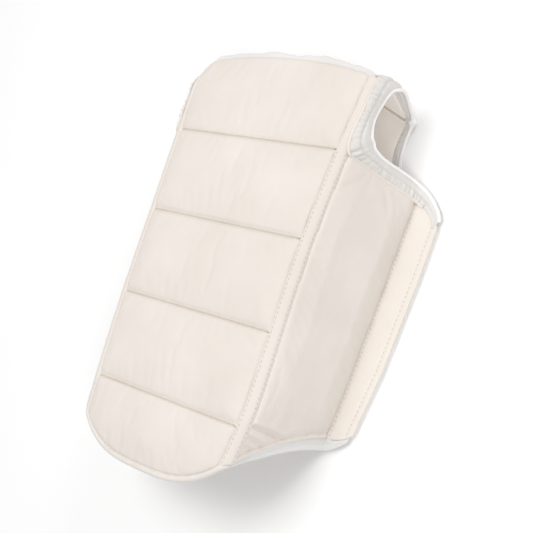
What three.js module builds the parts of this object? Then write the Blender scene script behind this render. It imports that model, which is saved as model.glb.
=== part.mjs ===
// Karate chest protector, lying on its back as on a table.
// Millimetres, +Z up, +Y towards the wearer's head, +X towards the wearer's left side.
import * as THREE from 'three';
import { mergeVertices } from 'three/addons/utils/BufferGeometryUtils.js';

// Front: five padded segments, one below the other; y = 0 is the highest cross seam
const SEGMENT_PITCH = 93;       // from one cross seam to the next
const TOP_SEGMENT = 79;         // highest cross seam to the top corners
const TOP_CROWN = 11;           // rise of the top edge in the middle
const TONGUE_DROP = 76;         // lowest cross seam to the bottom edge in the middle
const TONGUE_RISE = 30;         // rise of the bottom edge from there to the side seams
const TONGUE_HALF = 97;         // half width over which it rises
const TONGUE_POWER = 3.1;       // how full the bottom edge is
const FRONT_HEIGHT = 103;       // middle layer of the front above the table, at its highest
const FRONT_ARCH = 10;          // drop of that layer from there to the highest seam
const ARCH_PITCHES = 2.5;       // highest place, counted in segments below the highest seam

// Padding
const PAD_THICK = 10;
const PAD_EDGE = 3.2;           // sewn edge of a pad
const PAD_ROUND = 15;           // width of the rounded border of a pad
const PAD_OUTWARD = 0.72;       // share of the padding that swells outward
const HEM = 6;                  // flat stitched hem along the bottom edges
const GAP = 0.3;                // clearance between sewn pieces

// Sides: a seam tape that turns the corner, a padded wing and a flat flap
const TAPE_WIDTH = 10;
const TAPE_THICK = 2.6;
const TAPE_TURN = THREE.MathUtils.degToRad(66);
const TAPE_RADIUS = TAPE_WIDTH / TAPE_TURN;
const WING_SAG = 4;             // how far the wing sinks inward between tape and flap
const WING_TOP = 1;             // level of the wing's upper edge at the tape
const WING_TOP_FALL = 18;       // fall of that edge down to the flap
const FLAP_TOP_FALL = 24;       // its further fall across the flap
const WING_BOTTOM = 268;        // level of the wing's hem at the flap, below the highest seam
const WING_BOTTOM_FALL = 45;    // how much lower the wing reaches at the tape
const WING_BOTTOM_POWER = 1.7;
const WING_BOTTOM_REACH = 0.86; // share of that fall's curve that the wing takes up
const DENT_TAPE = 34;           // unpadded corner beside the tape: its length along the tape
const DENT_HEM = 0.5;           // and its share of the hem
const DENT_SLOPE = 3;           // how steeply the padding rises beside it
const FLAP_THICK = 2.8;
const FLAP_BOTTOM = 264;        // level of its lower corner at the side edge
const FLAP_CORNER = 6;          // rounding of that corner

// Half widths at levels down the body: the front's side seam, the wing's stitch line, the side edge
const LEVELS = [
  { y: 90, front: 119, stitch: 160, edge: 193 },
  { y: 0, front: 112, stitch: 154, edge: 187.5 },
  { y: -95, front: 107.5, stitch: 147, edge: 181.5 },
  { y: -190, front: 107, stitch: 140, edge: 172 },
  { y: -312, front: 106, stitch: 127.5, edge: 151 },
];
const FOOT_LEVEL = -230;        // below this level the front's side seams draw in
const FOOT_LENGTH = 82;
const FOOT_TAPER = 4.5;         // by this much over that length
const FOOT_SWING = 4.5;         // and the front lies this far over to the wearer's right

// Back, shoulders and trim
const BACK_THICK = 3;
const BACK_TIP = 330;           // lowest point of the back below the highest seam
const BACK_TIP_ROUND = 16;      // how wide that point is rounded
const BACK_SLOPE = 0.5;         // rise of the hem to both sides
const BACK_NECK = 92;           // its upper edge between the shoulders
const BACK_CORNER = 6;          // hem's corner, inward of the side edge
const NECK_CORNER = 10;         // neck's corner, inward of the shoulder
const STRAP_FOOT = { inner: [66, 84], outer: [113, 63] };
const STRAP_INNER = 66;         // shoulder strap at the front's top edge, from the middle
const STRAP_OUTER = 116;
const STRAP_THICK = 3;
const STRAP_BULGE = 5;
const NECK_BAND = 9;
const NECK_THICK = 2.2;
const NECK_TILT = THREE.MathUtils.degToRad(20);
const NECK_TAPER = 0.7;         // share of its width that it loses at its ends
const NECK_ROLL = 1.3;          // how much thicker its outer edge is
const NECK_WAVES = [[0.4, 9], [0.2, 4.3]];      // height and length of its gathers
const BAND_THICK = 2;
const BAND_BOW = 4;             // how far the armhole band bows outward
const BAND_NARROW = 12;         // narrower than this it lies flat
const BAND_EASE = 6;
const BAND_GATHERS = 34;        // puckers round one armhole
const BAND_PUCKER = 0.55;       // height of a pucker
const RIM_RADIUS = 1.9;
const HEM_BAND = 12;            // white band below a wing's hem, at the flap
const HEM_BAND_FOOT = 7;        // and at the tape
const HEM_BAND_THICK = 1.6;
const HEM_BAND_FLAP = 0.85;     // its reach under the flap, which it leaves off at its corner
const HEM_BAND_TAPER = 0.8;     // share of its width that it loses on that way

// Cloth
const CREAM = { color: 0xefe7de, roughness: 0.9, metalness: 0 };
const WHITE = { color: 0xf3f2ef, roughness: 0.85, metalness: 0 };
const LINING = { color: 0xd9d0c5, roughness: 0.92, metalness: 0 };

const part = new THREE.Group();
part.name = 'karate_chest_protector';

const lerp = THREE.MathUtils.lerp;
const clamp = THREE.MathUtils.clamp;
const lastSeam = -3 * SEGMENT_PITCH;
const arch = ARCH_PITCHES * SEGMENT_PITCH;

// How far a level lies down the foot of the front, growing as a square
const foot = (y) => (Math.max(FOOT_LEVEL - y, 0) / FOOT_LENGTH) ** 2;

// A width at a level, read between the rows of the table
function width(column, y) {
  let low = 0;
  while (low < LEVELS.length - 2 && y < LEVELS[low + 1].y) {
    low += 1;
  }
  const a = LEVELS[low];
  const b = LEVELS[low + 1];
  const straight = lerp(a[column], b[column], (a.y - y) / (a.y - b.y));
  if (column !== 'front') {
    return straight;
  }
  return straight - FOOT_TAPER * foot(y);
}

const frontHeight = (y) => FRONT_HEIGHT - FRONT_ARCH * ((y + arch) / arch) ** 2;
const topEdge = (x) => TOP_SEGMENT + TOP_CROWN * (1 - (x / width('front', TOP_SEGMENT)) ** 2);

function tongue(x) {
  return lastSeam - TONGUE_DROP + TONGUE_RISE * (Math.abs(x) / TONGUE_HALF) ** TONGUE_POWER;
}

// Swelling of a pad from 0 at its sewn edge to 1 inside
function swell(distance, flat = 0) {
  const inside = clamp((distance - flat) / PAD_ROUND, 0, 1);
  return Math.sqrt(1 - (1 - inside) ** 2);
}

// Closer steps towards both ends of a span from -1 to 1
const spread = (u) => Math.sin((u * Math.PI) / 2);

function add(name, look, geometry) {
  geometry.deleteAttribute('normal');
  geometry.deleteAttribute('uv');
  const at = geometry.attributes.position;
  for (let i = 0; i < at.count; i += 1) {
    at.setX(i, at.getX(i) - FOOT_SWING * foot(at.getY(i)) * (at.getZ(i) / FRONT_HEIGHT));
  }
  const closed = mergeVertices(geometry, 1e-4);
  closed.computeVertexNormals();
  const mesh = new THREE.Mesh(closed, new THREE.MeshStandardMaterial(look));
  mesh.name = name;
  part.add(mesh);
}

// A sheet: a flat block bent by place(u, v, w), each from -1 to 1, w outward
function sheet(name, look, across, along, place, side = 1) {
  const block = new THREE.BoxGeometry(2, 2, 2, across, along, 1);
  const at = block.attributes.position;
  for (let i = 0; i < at.count; i += 1) {
    const [x, y, z] = place(side * at.getX(i), at.getY(i), at.getZ(i));
    at.setXYZ(i, side * x, y, z);
  }
  add(name, look, block);
}

// Offset of a pad's skin from its middle layer
function skin(w, fullness) {
  const swelling = (PAD_THICK - PAD_EDGE) * fullness;
  if (w > 0) {
    return PAD_EDGE / 2 + swelling * PAD_OUTWARD;
  }
  return -PAD_EDGE / 2 - swelling * (1 - PAD_OUTWARD);
}

// The five front segments
function frontPad(index) {
  const upper = index === 1 ? topEdge : () => (2 - index) * SEGMENT_PITCH - GAP / 2;
  const lower = index === 5 ? tongue : () => (1 - index) * SEGMENT_PITCH + GAP / 2;
  const hem = index === 5 ? HEM : 0;
  sheet(`front_pad_${index}`, CREAM, 12, 8, (u, v, w) => {
    const across = spread(u);
    const down = (1 - spread(v)) / 2;
    const guess = across * width('front', lerp(upper(0), lower(0), down));
    const y = lerp(upper(guess), lower(guess), down);
    const reach = width('front', y) - TAPE_WIDTH / 2 - GAP;
    const x = across * reach;
    const length = upper(x) - lower(x);
    const beside = swell((1 - Math.abs(across)) * reach);
    const above = swell(down * length);
    const below = swell((1 - down) * length, hem);
    return [x, y, frontHeight(y) + skin(w, beside * above * below)];
  });
}
for (let index = 1; index <= 5; index += 1) {
  frontPad(index);
}

// Cross-section of the side: the tape's turn, then the wing down to the flap
function onTape(y, t) {
  const turn = t * TAPE_TURN;
  const x = width('front', y) - TAPE_WIDTH / 2 + TAPE_RADIUS * Math.sin(turn);
  const z = frontHeight(y) - TAPE_RADIUS * (1 - Math.cos(turn));
  return { x, z, nx: Math.sin(turn), nz: Math.cos(turn) };
}

const landing = BACK_THICK + GAP + PAD_EDGE / 2 + GAP;

function onWing(y, t) {
  const from = onTape(y, 1);
  const to = { x: width('stitch', y), z: landing };
  const length = Math.hypot(to.x - from.x, to.z - from.z);
  const nx = (from.z - to.z) / length;
  const nz = (to.x - from.x) / length;
  const sag = WING_SAG * 4 * t * (1 - t);
  const x = lerp(from.x, to.x, t) - nx * sag;
  const z = lerp(from.z, to.z, t) - nz * sag;
  return { x, z, nx, nz, length };
}

const wingTop = (t) => WING_TOP - WING_TOP_FALL * t;
function wingBottom(t) {
  return -WING_BOTTOM - WING_BOTTOM_FALL * (1 - WING_BOTTOM_REACH * t) ** WING_BOTTOM_POWER;
}

const flapTop = (t) => wingTop(1) - FLAP_TOP_FALL * t ** 2;
const flapBottom = (t) => lerp(wingBottom(1), -FLAP_BOTTOM, t) + FLAP_CORNER * t ** 4;

// Across the flap, from the wing's stitch line to the side edge
function onFlap(y, t) {
  return lerp(width('stitch', y) + PAD_EDGE / 2 + GAP, width('edge', y), t);
}

function sidePieces(name, side) {
  const tapeTop = topEdge(width('front', TOP_SEGMENT));
  const tapeFoot = width('front', -WING_BOTTOM - WING_BOTTOM_FALL);
  sheet(`seam_tape_${name}`, CREAM, 3, 22, (u, v, w) => {
    const bottom = lerp(tongue(tapeFoot - TAPE_WIDTH / 2), wingBottom(0), (u + 1) / 2);
    const y = lerp(bottom, tapeTop, (v + 1) / 2);
    const at = onTape(y, (u + 1) / 2);
    const out = (w * TAPE_THICK) / 2;
    return [at.x + at.nx * out, y, at.z + at.nz * out];
  }, side);

  sheet(`side_pad_${name}`, CREAM, 8, 20, (u, v, w) => {
    const step = (1 + spread(u)) / 2;
    const margin = GAP / onWing(0, 0).length;
    const t = lerp(margin, 1 - margin, step);
    const up = (1 + spread(v)) / 2;
    const bottom = wingBottom(t);
    const top = wingTop(t);
    const y = lerp(bottom, top, up);
    const at = onWing(y, t);
    const corner = (y - bottom) / DENT_TAPE + t / DENT_HEM - 1;
    const padded = clamp(corner * DENT_SLOPE, 0, 1);
    const edges = swell(step * at.length) * swell((1 - step) * at.length);
    const ends = swell(up * (top - bottom), HEM) * swell((1 - up) * (top - bottom));
    const out = skin(w, edges * ends * padded);
    return [at.x + at.nx * out, y, at.z + at.nz * out];
  }, side);

  // White band along the wing's hem, run from 0 to 1, and on under the flap
  sheet(`hem_band_${name}`, WHITE, 18, 2, (u, v, w) => {
    const run = lerp(0.01, 1 + HEM_BAND_FLAP, (u + 1) / 2);
    const wing = Math.min(run, 1);
    const flap = run - wing;
    const wide = lerp(HEM_BAND_FOOT, HEM_BAND, wing) * (1 - HEM_BAND_TAPER * flap);
    const hem = flap > 0 ? flapBottom(flap) : wingBottom(wing);
    const y = hem - GAP - (wide * (1 - v)) / 2;
    const at = onWing(y, wing);
    const out = (w * HEM_BAND_THICK) / 2;
    if (flap > 0) {
      return [onFlap(y, flap), y, at.z + out];
    }
    return [at.x + at.nx * out, y, at.z + at.nz * out];
  }, side);

  sheet(`side_flap_${name}`, CREAM, 3, 14, (u, v, w) => {
    const t = (u + 1) / 2;
    const y = lerp(flapBottom(t), flapTop(t), (v + 1) / 2);
    return [onFlap(y, t), y, BACK_THICK + GAP + (FLAP_THICK * (w + 1)) / 2];
  }, side);

  sheet(`shoulder_strap_${name}`, LINING, 5, 6, (u, v, w) => {
    const t = (u + 1) / 2;
    const up = (v + 1) / 2;
    const topX = lerp(STRAP_INNER, STRAP_OUTER, t);
    const topY = topEdge(topX) + 0.7 * STRAP_THICK;
    const topZ = frontHeight(topY) - NECK_THICK - 3 * GAP;
    const footX = lerp(STRAP_FOOT.inner[0], STRAP_FOOT.outer[0], t);
    const footY = lerp(STRAP_FOOT.inner[1], STRAP_FOOT.outer[1], t);
    const bulge = STRAP_BULGE * 4 * up * (1 - up) - (w * STRAP_THICK) / 2;
    return [lerp(footX, topX, up), lerp(footY, topY, up) + bulge, lerp(BACK_THICK + GAP, topZ, up)];
  }, side);
}
sidePieces('left', 1);
sidePieces('right', -1);

// Back panel: a plain sheet on the table, its half outline mirrored
const hemLine = (x) => -BACK_TIP + BACK_SLOPE * (Math.hypot(x, BACK_TIP_ROUND) - BACK_TIP_ROUND);

// Its armhole edge, from the side up to the shoulder
const backArm = new THREE.CubicBezierCurve(
  new THREE.Vector2(172, -23),
  new THREE.Vector2(108, -12),
  new THREE.Vector2(100, 20),
  new THREE.Vector2(STRAP_FOOT.outer[0], STRAP_FOOT.outer[1] - STRAP_THICK),
);

function backPanel() {
  const half = [];
  for (let step = 0; step <= 8; step += 1) {
    const x = (step / 8) * (width('edge', -FLAP_BOTTOM) - BACK_CORNER);
    half.push([x, hemLine(x)]);
  }
  for (const y of [FLAP_CORNER - FLAP_BOTTOM, -190, -95, flapTop(1)]) {
    half.push([width('edge', y) - GAP, y]);
  }
  for (const point of backArm.getPoints(8)) {
    half.push([point.x, point.y]);
  }
  half.push([STRAP_FOOT.outer[0], STRAP_FOOT.outer[1] + STRAP_THICK]);
  half.push([STRAP_FOOT.inner[0], STRAP_FOOT.inner[1] + STRAP_THICK]);
  half.push([STRAP_FOOT.inner[0] - NECK_CORNER, BACK_NECK]);
  const outline = new THREE.Shape();
  outline.moveTo(...half[0]);
  half.slice(1).forEach(([x, y]) => outline.lineTo(x, y));
  half.slice(1).reverse().forEach(([x, y]) => outline.lineTo(-x, y));
  add('back_panel', LINING, new THREE.ExtrudeGeometry(outline, { depth: BACK_THICK, bevelEnabled: false }));
}
backPanel();

// Bumpy trim along the top edge of the front
sheet('neck_band', WHITE, 48, 2, (u, v, w) => {
  const x = u * (width('front', TOP_SEGMENT) - 2);
  const out = (NECK_BAND * (v + 1) * (1 - NECK_TAPER * u ** 8)) / 2;
  const [slow, quick] = NECK_WAVES;
  const gather = (1 + v) * (slow[0] * Math.sin(x / slow[1]) + quick[0] * Math.cos(x / quick[1]));
  const thick = NECK_THICK * (v > 0.5 ? NECK_ROLL : 1);
  const y = topEdge(x) + GAP + (out + gather) * Math.cos(NECK_TILT);
  const z = frontHeight(topEdge(x)) - out * Math.sin(NECK_TILT) + 0.4 * gather + (w * thick) / 2;
  return [x, y, z];
});

// Armhole trim, from the side seam over the shoulder and back to it:
// where it is sewn on and how far its rim stands off from there
function armholeRows() {
  const tape = (y) => [onTape(y, 1.1).x, y, onTape(y, 1.1).z];
  const wing = (t) => [onWing(wingTop(t), t).x, wingTop(t) + 1, onWing(wingTop(t), t).z];
  const back = (t, lift = 0) => {
    const { x, y } = backArm.getPoint(t);
    return [x + 1, y + 1, BACK_THICK / 2 + GAP + lift];
  };
  const flap = (t) => [onFlap(flapTop(t), t), flapTop(t) + 1.5, BACK_THICK + FLAP_THICK / 2 + 2 * GAP];
  return [
    { sewn: flap(0.8), rim: [3.5, 2.6, 0.3] },
    { sewn: flap(0.55), rim: [4, 4, 0.5] },
    { sewn: flap(0.2), rim: [2.5, 9, 2] },
    { sewn: wing(0.88), rim: [-1, 16, 1] },
    { sewn: wing(0.5), rim: [1.5, 15, 1] },
    { sewn: wing(0.12), rim: [10.5, 13, -13.5] },
    { sewn: tape(14), rim: [10, 10, -12] },
    { sewn: tape(42), rim: [4, 1, -11] },
    { sewn: tape(70), rim: [6, 0, -14] },
    { sewn: [117, 89, 74], rim: [13, -11, -17] },
    { sewn: [116, 84, 50], rim: [13, -4, -6] },
    { sewn: [115, 74, 24], rim: [10, -2, -2] },
    { sewn: back(1, 4), rim: [8, 2, 0.5] },
    { sewn: back(0.8, 0.4), rim: [9, 1, 0.4] },
    { sewn: back(0.5), rim: [7, 4, 0.4] },
    { sewn: back(0.25), rim: [5, 4, 0.4] },
    { sewn: back(0.12), rim: [4, 4, 0.4] },
  ];
}

// A long closed strip: a capped cylinder led along a line, with its own section at each step
function strip(name, look, sides, steps, place) {
  const rod = new THREE.CylinderGeometry(1, 1, 1, sides, steps);
  const at = rod.attributes.position;
  const section = new THREE.Vector2();
  for (let i = 0; i < at.count; i += 1) {
    section.set(at.getX(i), at.getZ(i)).multiplyScalar(1e6).round().divideScalar(1e6);
    const point = place(at.getY(i) + 0.5, section);
    at.setXYZ(i, point.x, point.y, point.z);
  }
  add(name, look, rod);
}

function armhole(name, side) {
  const rows = armholeRows();
  const line = (points) => new THREE.CatmullRomCurve3(
    points.map(([x, y, z]) => new THREE.Vector3(side * x, y, z)), false, 'centripetal');
  const sewnLine = line(rows.map((row) => row.sewn));
  const rimLine = line(rows.map((row) => row.sewn.map((value, i) => value + row.rim[i])));

  // Directions on the trim at a step: to the seam, square to the rim, and out of the cloth
  function directions(t) {
    const across = sewnLine.getPoint(t).sub(rimLine.getPoint(t));
    const length = across.length();
    const along = rimLine.getTangent(t);
    const out = across.clone().cross(along).normalize();
    const square = along.clone().cross(out);
    return { slant: across.divideScalar(length), square, out, length };
  }

  strip(`arm_band_${name}`, WHITE, 6, BAND_GATHERS * 4, (t, section) => {
    const { slant, out, length } = directions(t);
    const standoff = RIM_RADIUS + 2 * GAP;
    const half = (length - standoff - 2 * GAP) / 2;
    const flat = Math.sign(section.x) * Math.sqrt(Math.abs(section.x));
    const middle = 1 - flat * flat;
    const pucker = BAND_PUCKER * Math.cos(t * BAND_GATHERS * 2 * Math.PI) * middle;
    const bow = -side * BAND_BOW * middle * clamp((length - BAND_NARROW) / BAND_EASE, 0, 1);
    return rimLine.getPoint(t)
      .addScaledVector(slant, standoff + half * (1 + flat))
      .addScaledVector(out, (BAND_THICK / 2) * section.y + pucker + bow);
  });

  strip(`arm_rim_${name}`, WHITE, 6, BAND_GATHERS * 2, (t, section) => {
    const { square, out } = directions(t);
    return rimLine.getPoint(t)
      .addScaledVector(square, RIM_RADIUS * section.x)
      .addScaledVector(out, RIM_RADIUS * section.y);
  });
}
armhole('left', 1);
armhole('right', -1);

// The middle of the lying part's footprint is the origin
const box = new THREE.Box3().setFromObject(part);
part.children.forEach((mesh) => mesh.geometry.translate(0, -(box.min.y + box.max.y) / 2, 0));

export default part;
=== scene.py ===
# Karate chest protector lying on its back: quilted cotton front and sides, white trim, stitching.
# Sizes are millimetres, with y counted from the highest cross seam towards the head.
import math

import bpy
from mathutils import Matrix, Vector, noise
from mathutils.bvhtree import BVHTree

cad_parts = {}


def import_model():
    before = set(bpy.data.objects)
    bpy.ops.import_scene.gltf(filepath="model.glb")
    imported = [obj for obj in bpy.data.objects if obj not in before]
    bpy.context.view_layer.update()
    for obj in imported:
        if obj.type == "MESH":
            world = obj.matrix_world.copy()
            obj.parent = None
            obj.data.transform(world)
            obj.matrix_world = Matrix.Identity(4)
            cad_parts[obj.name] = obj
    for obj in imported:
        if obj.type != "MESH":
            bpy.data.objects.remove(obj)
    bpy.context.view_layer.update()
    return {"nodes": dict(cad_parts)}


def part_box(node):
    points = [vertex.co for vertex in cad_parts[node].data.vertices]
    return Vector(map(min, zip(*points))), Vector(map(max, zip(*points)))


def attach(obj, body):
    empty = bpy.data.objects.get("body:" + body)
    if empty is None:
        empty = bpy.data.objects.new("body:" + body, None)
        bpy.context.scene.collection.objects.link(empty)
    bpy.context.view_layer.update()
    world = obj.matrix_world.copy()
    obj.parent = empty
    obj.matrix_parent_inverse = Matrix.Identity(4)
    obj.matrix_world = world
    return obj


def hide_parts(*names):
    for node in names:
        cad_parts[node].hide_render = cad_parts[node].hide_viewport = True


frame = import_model()

MM = 0.001
GAP = 0.3
SEAM_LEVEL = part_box("front_pad_1")[0].y / MM - GAP / 2

# Front: five segments, one below the other
SEGMENTS = 5
SEGMENT_PITCH = 93
TOP_SEGMENT = 79  # highest cross seam to the top corners
TOP_CROWN = 11  # rise of the top edge in the middle
TONGUE_DROP = 76  # lowest cross seam to the bottom edge in the middle
TONGUE_RISE = 30  # rise of that edge from there to the side seams
TONGUE_HALF = 97
TONGUE_POWER = 3.1
FOOT_LEVEL = -230  # below this level the front draws in and lies over to one side
FOOT_LENGTH = 82
FOOT_TAPER = 4.5
FOOT_SWING = 4.5
CORNER_ROUND = 32  # rounding of the free top corner, and where it begins
CORNER_SIDE = -86
CORNER_LEVEL = 47
CORNER_HEIGHT = 40  # it grows from this height on, over as much again
FRONT_HEIGHT = 103
FRONT_ARCH = 10
ARCH_LEVEL = 2.5 * SEGMENT_PITCH
LAST_SEAM = -3 * SEGMENT_PITCH

# Padding
PAD_EDGE = 3.2  # thickness at a seam
PAD_CAD_RISE = 4.9  # how far the plain solid stands out over that edge
PAD_CAD_ROUND = 15
PAD_RISE = 4.2  # how far the filled pad stands out
CRISP_ROUND = 7  # upper edge of a segment, turned over and sewn down
SOFT_SLOPE = 10  # lower edge, running out under the next segment
SIDE_ROUND = 11
HEM = 6
LAP_UPPER = 0.4  # sewn edges press together by this much
LAP_LOWER = 1.1
LAP_DEPTH = 2.5  # over this depth of cloth
TOP_FULLNESS = 3.2  # how far the front's top edge swells over the neck trim
TOP_DEPTH = 10
BINDING_INSET = 2  # how far the front's bottom edge lies inside its binding
BINDING_DEPTH = 9
EDGE_CALM = 2  # the cloth's waves die out this near to an edge
HEM_ROLL = 2.5  # middle of a hem's rolled edge
HEM_ROLL_HALF = 2.4
HEM_DIP_HALF = 1.3  # dip along the hem's stitches

# Waves and puckers of slack cloth: (height, size)
FRONT_WAVE = (0.45, 48)
FRONT_CREASES = (0.25, 19)
CROSS_PUCKER = (0.5, 7)
FRONT_TAPE_PUCKER = (0.4, 6)
WING_WAVE = (0.6, 55)
WING_CREASES = (0.3, 21)
WING_TAPE_PUCKER = (0.45, 6)
WING_FLAP_PUCKER = (0.35, 6)
TAPE_WAVE = (0.35, 13)
FLAP_WAVE = (0.5, 30)
FLAP_CREASES = (0.3, 9)
STRAP_WAVE = (0.9, 17)
STRAP_CREASES = (0.5, 6)
BACK_WAVE = (0.3, 60)
HEM_BAND_WAVE = (0.3, 6)
NECK_GATHERS = (1.9, 34)
NECK_CREASES = (1.1, 11)
BINDING_PUCKER = (0.25, 4)
BAND_CRUMPLE = (0.7, 5)

# Sides: (level, half width at the front's seam, at the wing's stitch line, at the side edge)
LEVELS = [
    (-312, 106, 127.5, 151),
    (-190, 107, 140, 172),
    (-95, 107.5, 147, 181.5),
    (0, 112, 154, 187.5),
    (90, 119, 160, 193),
]
FRONT, STITCH_LINE, SIDE_EDGE = 1, 2, 3
TAPE_WIDTH = 10
TAPE_TURN = math.radians(66)
TAPE_RADIUS = TAPE_WIDTH / TAPE_TURN
TAPE_COVER = (-0.18, 1.16)  # the tape's cloth laps over its neighbours, as shares of its width
TAPE_WELT = 1.1  # and stands out between its two rows of stitches
TAPE_ROWS = (0.13, 0.87)
TAPE_ROW_HALF = 0.06
TAPE_GROOVE = 0.8
TAPE_PULL = 0.16  # pull of each stitch: height, place out from the middle, half width
TAPE_PULL_PLACE = 0.74
TAPE_PULL_HALF = 0.2
TAPE_TUCK = 5  # it ends this far above the front's edge, under the binding
WING_SAG = 4
WING_TOP = 1
WING_TOP_FALL = 18
FLAP_TOP_FALL = 24
WING_BOTTOM = 268
WING_BOTTOM_FALL = 45
WING_BOTTOM_POWER = 1.7
WING_BOTTOM_REACH = 0.86
SLACK_TAPE = 34  # slack corner beside the tape: its length along the tape
SLACK_HEM = 0.5  # and its share of the wing's hem
SLACK_CAD_SLOPE = 3  # how soon the padding rises beyond it, in the solid and when filled
SLACK_SLOPE = 2.4
WING_FOLDS = [  # folds there: level at the tape, fall along the wing, reach, height
    (269.5, 0.13, 50, 2.3),
    (281, 0.24, 38, 1.1),
    (290, 0.3, 26, 0.7),
]
FOLD_START = 4  # lengths over which a fold rises at the tape and runs out
FOLD_END = 14
FOLD_HALF = 2.4
FOLD_DIP = 1.1  # dip below a fold: share of its height, distance, half width
FOLD_DIP_PLACE = 4.6
FOLD_DIP_HALF = 2.0
FLAP_BOTTOM = 264
FLAP_CORNER = 6
FLAP_HEM = 7
FLAP_SEAM = 2.6  # stitch line beside the wing
FLAP_TUCK = 0.5  # the flap's cloth starts this far under the wing
FLAP_CLOTH = 1.8  # middle of its cloth over the back
FLAP_LOWEST = -0.45  # deepest dip of its stitches
FLAP_PULL = 0.14
FLAP_PULL_HALF = 2.5
FLAP_CALM = 6

# Back, shoulders and trim
BACK_THICK = 3
BACK_TIP = 330
BACK_TIP_ROUND = 16
BACK_SLOPE = 0.5
BACK_NECK = 92
BACK_CORNER = 6  # the hem's corner, inward of the side edge
NECK_CORNER = 10  # the neck's corner, inward of the shoulder
BACK_ARM = [(172, -23), (108, -12), (100, 20)]
BACK_ARM_STEPS = 12
BACK_LEVELS = (-220, -180, -140, -100, -60)
STRAP_FOOT_INNER = (66, 84)
STRAP_FOOT_OUTER = (113, 63)
STRAP_INNER = 66
STRAP_OUTER = 116
STRAP_BULGE = 5
STRAP_CLOTH = 1.6  # middle of its cloth over the back
STRAP_PAST = 2  # its upper end lies past the front's edge and under it
STRAP_UNDER = 3.1
SHOULDER_LINE = [  # where band and strap are sewn together, from the top down
    (116, 84, 77),
    (116, 81, 50),
    (115, 73, 24),
]
SHOULDER_SEAM = 1.7  # radius of the rolled seam at the strap's foot
SHOULDER_SEAM_SHARE = 0.05  # and its place up the strap
SHOULDER_STEPS = 40
NECK_BAND = 10
NECK_LAP = 1.2
NECK_TILT = math.radians(20)
NECK_TAPER = 0.7  # it narrows by this share at the corners
NECK_TAPER_POWER = 8
NECK_LIFT = 0.8
BAND_BOW = 3
BAND_LIFT = 2.4  # the band's seam lies on top of the wing and the tape
BAND_LAP = 1.5
BAND_FLAT = 12  # where it is narrower than this it doesn't bow
BAND_BOW_GROWTH = 6
BAND_INSET = 1.2  # its cloth ends this far inside the rim
BAND_STEPS = 420
CORNER_ROW = 7  # row of the armhole where the band turns from the wing to the tape
KNOT_ROW = 14  # row where it turns from the shoulder to the back
KNOT_FULLNESS = 1.5  # the rim is that much thicker there
PUCKER_PITCH = 6
PUCKER_INNER = 1.2  # height of its gathers inside and outside its groove
PUCKER_OUTER = 0.3
PUCKER_CALM = 14  # its first end is plain over this length, and gathered after twice that
BAND_FULLNESS = 0.7
BAND_EDGE = 0.1  # share of its width over which this rises
BAND_GROOVE = 0.5  # where the band is stitched down, from its seam to its rim
BAND_GROOVE_DEPTH = 1.6
BAND_GROOVE_HALF = 0.05
MITRE_DEPTH = 1.2  # dip of the mitred corner
MITRE_HALF = 1.6
RIM_RADIUS = 1.9
RIM_STEPS = 300
PIPING_ROWS = {1: (2.6, 10.2), -1: (2.6, 8.8)}  # rows that a piping covers on each side
PIPING_LOW = 1.5  # its radius along the wing and beside the front
PIPING_HIGH = 2.0
PIPING_LIFT = 0.7
PIPING_END = 0.3  # share of the radius that is left at its upper end
PIPING_STEPS = 160
PIPING_THIN = 40  # steps over which it thins out
HEM_BAND = 12  # white band below a wing's hem, at the flap and at the tape
HEM_BAND_FOOT = 7
HEM_BAND_LAP = 2
HEM_BAND_FLAP = 0.9  # its reach under the flap
HEM_BAND_TAPER = 0.85
HEM_BAND_START = -0.015  # it starts under the tape, at half its width
HEM_BAND_NARROW = 0.5
HEM_BAND_WIDEN = 0.3
HEM_BAND_GROOVE = 0.55
HEM_BAND_GROOVE_DEPTH = 1.2
HEM_BAND_GROOVE_HALF = 0.07
BINDING = 6.5  # width of the binding round the front's bottom edge
BINDING_EDGE = 0.6
BINDING_ARCH = 3.1
BINDING_SINK = 0.9
BINDING_STEPS = 240
LANDING = BACK_THICK + 2 * GAP + PAD_EDGE / 2

# Sewing
STITCH_PITCH = 4.8
STITCH_LENGTH = 2.4
THREAD = 0.8
SEAM_RADIUS = 1.3  # rolled line that fills a cross seam
SEAM_LIFT = 0.9
SEAM_STEPS = 120
CROSS_STITCHES = 1.4  # distance of the stitches above a cross seam
SEAM_SAMPLES = 400
SEAT_REACH = 14  # a stitch is laid down on the cloth from this far off

# Cloth simulation
VOXEL = 2.6
WELD = 0.02
PRESSURE = 4
CLOTH_SLACK = -0.004
CLOTH_QUALITY = 5
FRAMES = 20
SWELL_LIMIT = 3
SEWN_HOLD = 1.6  # how firmly seams are held, above 1 beside them
SEWN_FADE = 4  # and over which distance the hold falls by 1

# Cloth as it looks
SLUB = 3.5  # uneven threads
PATCH = 70  # uneven tone
RELIEF = 0.12
WAVE_TURNS = 20  # a wave texture of scale 1 has this many radians in a metre

# A sheet's cut area is taken as slightly smaller than its width times its length
FULL_CUT = 0.999


def between(rows, column, value):
    """A column of a table read between its rows, which rise by their first column."""
    row = 0
    while row < len(rows) - 2 and value > rows[row + 1][0]:
        row += 1
    low, high = rows[row], rows[row + 1]
    return low[column] + (high[column] - low[column]) * (value - low[0]) / (high[0] - low[0])


def foot(y):
    """How far a level lies down the foot of the front, growing as a square."""
    return (max(FOOT_LEVEL - y, 0) / FOOT_LENGTH) ** 2


def width(column, y):
    taper = FOOT_TAPER * foot(y) if column == FRONT else 0
    return between(LEVELS, column, y) - taper


def mix(a, b, t):
    return a + (b - a) * t


def clamp(value, low=0.0, high=1.0):
    return min(max(value, low), high)


def bell(value, half):
    return math.exp(-(value / half) ** 2)


def ripple(x, y, size, seed=0.0):
    """Soft random waves of about that size, from -1 to 1."""
    return noise.noise(Vector((x / size, y / size, seed)))


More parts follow.
